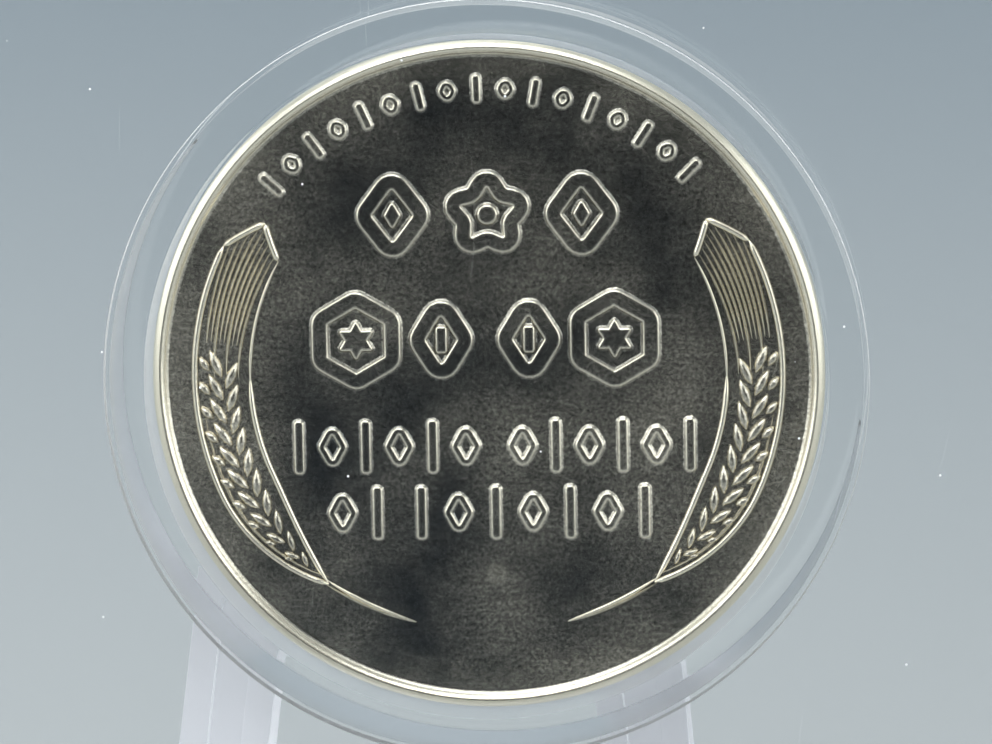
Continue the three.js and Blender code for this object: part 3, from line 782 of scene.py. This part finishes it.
def makeStand():
    mesh = frame["nodes"]["display_stand"].data.copy()
    mesh.name = "displayStand"
    mesh.materials.clear()
    faired = bmesh.new()
    faired.from_mesh(mesh)
    bmesh.ops.remove_doubles(faired, verts=faired.verts, dist=stand["mergeWithin"])
    bmesh.ops.dissolve_limit(faired, angle_limit=math.radians(stand["flatWithin"]), verts=faired.verts,
                             edges=faired.edges)
    faired.to_mesh(mesh)
    faired.free()
    points = np.empty(3 * len(mesh.vertices), np.float32)
    mesh.vertices.foreach_get("co", points)
    place = mesh.attributes.new("place", "FLOAT_VECTOR", "POINT")
    place.data.foreach_set("vector", points / millimetre)
    mesh.materials.append(clearStand)
    piece = bpy.data.objects.new("displayStand", mesh)
    bpy.context.scene.collection.objects.link(piece)
    bevel = piece.modifiers.new("rounded edges", "BEVEL")
    bevel.width, bevel.segments, bevel.limit_method = stand["edge"], stand["edgeSteps"], "ANGLE"
    bevel.angle_limit = math.radians(stand["edgeAngle"])
    mesh.polygons.foreach_set("use_smooth", np.ones(len(mesh.polygons), bool))
    mesh.set_sharp_from_angle(angle=math.radians(stand["sharpAngle"]))
    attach(piece, "stand")
    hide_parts("display_stand")
    piece.visible_shadow = piece.visible_diffuse = False


makeStand()
print("stand made")

# stage, light and camera
stage = dict(floor="#bbbdbd", paintedShadeFloor="#96a2ab", paintedLightFloor="#f2f5f7", paintedShadeStart=0.0, paintedShadeEnd=0.17,
             paintedLightStart=0.15, paintedLightEnd=0.7, floorSize=8.0, floorRough=0.9)
sky = dict(colour="#dbe5ee", strength=0.48, shade="#1e2022", shadeWay=(0.12, -0.91, 0.4), shadeInner=12,
           shadeOuter=40, glowWay=(0.0, 0.93, 0.36), glowInner=0, glowOuter=75, glowGain=2.0)
camera = dict(azimuth=3.5, elevation=23.2, distance=0.15, lens=191.45, sensor=36, clipStart=0.01,
              aimAcross=0.00018)


def makeFloor():
    # a matt floor, warm grey under the object; painted shade makes it cooler and darker behind it, and
    # painted light makes it white far out, where the lamps don't reach
    finish, tree = newFinish("matt floor with painted shade and light")
    place = addNode(tree, "ShaderNodeTexCoord").outputs["Object"]
    axes = addNode(tree, "ShaderNodeSeparateXYZ", None, {"Vector": place})
    paintedShade = addNode(tree, "ShaderNodeMapRange",
                   {"interpolation_type": "SMOOTHSTEP", "From Min": stage["paintedShadeStart"],
                    "From Max": stage["paintedShadeEnd"]}, {"Value": axes.outputs["Y"]})
    shaded = addNode(tree, "ShaderNodeMix",
                     {"data_type": "RGBA", "A": linear(stage["floor"]), "B": linear(stage["paintedShadeFloor"])},
                     {"Factor": paintedShade.outputs["Result"]})
    away = addNode(tree, "ShaderNodeVectorMath", {"operation": "LENGTH"}, {0: place})
    # painted light: the floor turns white further out
    paintedLight = addNode(tree, "ShaderNodeMapRange",
                   {"interpolation_type": "SMOOTHSTEP", "From Min": stage["paintedLightStart"],
                    "From Max": stage["paintedLightEnd"]}, {"Value": away.outputs["Value"]})
    paintedFloor = addNode(tree, "ShaderNodeMix", {"data_type": "RGBA", "B": linear(stage["paintedLightFloor"])},
                    {"Factor": paintedLight.outputs["Result"], "A": shaded.outputs["Result"]})
    finishWith(tree, {"Roughness": stage["floorRough"]}, {"Base Color": paintedFloor.outputs["Result"]})
    size = stage["floorSize"] / 2
    mesh = bpy.data.meshes.new("floor")
    mesh.from_pydata([(-size, -size, 0), (size, -size, 0), (size, size, 0), (-size, size, 0)], [],
                     [(0, 1, 2, 3)])
    mesh.materials.append(finish)
    floor = bpy.data.objects.new("floor", mesh)
    bpy.context.scene.collection.objects.link(floor)


def nearWay(tree, way, middleWay, inner, outer, low, high):
    # low away from a direction and high around it: a smooth step in the cosine of the angle to it
    turned = addNode(tree, "ShaderNodeVectorMath",
                     {"operation": "DOT_PRODUCT", 1: Vector(middleWay).normalized()}, {0: way})
    step = addNode(tree, "ShaderNodeMapRange",
                   {"interpolation_type": "SMOOTHSTEP", "From Min": math.cos(math.radians(outer)),
                    "From Max": math.cos(math.radians(inner)), "To Min": low, "To Max": high},
                   {"Value": turned.outputs["Value"]})
    return step.outputs["Result"]


def makeSky():
    # an even pale room, brighter behind, with one soft dark place low in front, where the viewer stands
    world = bpy.data.worlds.new("studio")
    bpy.context.scene.world = world
    world.use_nodes = True
    tree = world.node_tree
    tree.nodes.clear()
    way = addNode(tree, "ShaderNodeTexCoord").outputs["Generated"]
    shade = nearWay(tree, way, sky["shadeWay"], sky["shadeInner"], sky["shadeOuter"], 0.0, 1.0)
    glow = nearWay(tree, way, sky["glowWay"], sky["glowInner"], sky["glowOuter"], 1.0, sky["glowGain"])
    mixed = addNode(tree, "ShaderNodeMix",
                    {"data_type": "RGBA", "A": linear(sky["colour"]), "B": linear(sky["shade"])},
                    {"Factor": shade})
    lit = addNode(tree, "ShaderNodeVectorMath", {"operation": "SCALE"},
                  {0: mixed.outputs["Result"], "Scale": glow})
    room = addNode(tree, "ShaderNodeBackground", {"Strength": sky["strength"]},
                   {"Color": lit.outputs["Vector"]})
    addNode(tree, "ShaderNodeOutputWorld", None, {"Surface": room.outputs["Background"]})


lamps = {"top softbox": dict(place=(-0.04, -0.07, 0.22), size=(0.24, 0.18), watts=0.5),
         "left softbox": dict(place=(-0.34, -0.12, 0.14), size=(0.42, 0.26), watts=0.9),
         "right softbox": dict(place=(0.34, -0.12, 0.14), size=(0.42, 0.26), watts=0.8)}


def makeLamp(name, place, size, watts):
    # a soft box that faces the capsule's middle
    lamp = bpy.data.lights.new(name, "AREA")
    lamp.shape, lamp.size, lamp.size_y, lamp.energy = "RECTANGLE", size[0], size[1], watts
    holder = bpy.data.objects.new(name, lamp)
    holder.location = Vector(middle) + Vector(place)
    holder.rotation_euler = (-Vector(place)).to_track_quat("-Z", "Y").to_euler()
    bpy.context.scene.collection.objects.link(holder)


def makeCamera():
    # a long lens that looks down at the coin from a little to the right
    azimuth, elevation = math.radians(camera["azimuth"]), math.radians(camera["elevation"])
    way = Vector((math.sin(azimuth) * math.cos(elevation), -math.cos(azimuth) * math.cos(elevation),
                  math.sin(elevation)))
    data = bpy.data.cameras.new("camera")
    data.sensor_width, data.lens = camera["sensor"], camera["lens"]
    data.clip_start = camera["clipStart"]
    holder = bpy.data.objects.new("camera", data)
    aim = Vector(middle + camera["aimAcross"] * acrossWay)
    holder.location = aim + way * camera["distance"]
    holder.rotation_euler = way.to_track_quat("Z", "Y").to_euler()
    bpy.context.scene.collection.objects.link(holder)
    bpy.context.scene.camera = holder


makeFloor()
makeSky()
for lampName, lamp in lamps.items():
    makeLamp(lampName, **lamp)
makeCamera()
bpy.context.scene.view_settings.view_transform = "Standard"
print("stage, lamps and camera made")
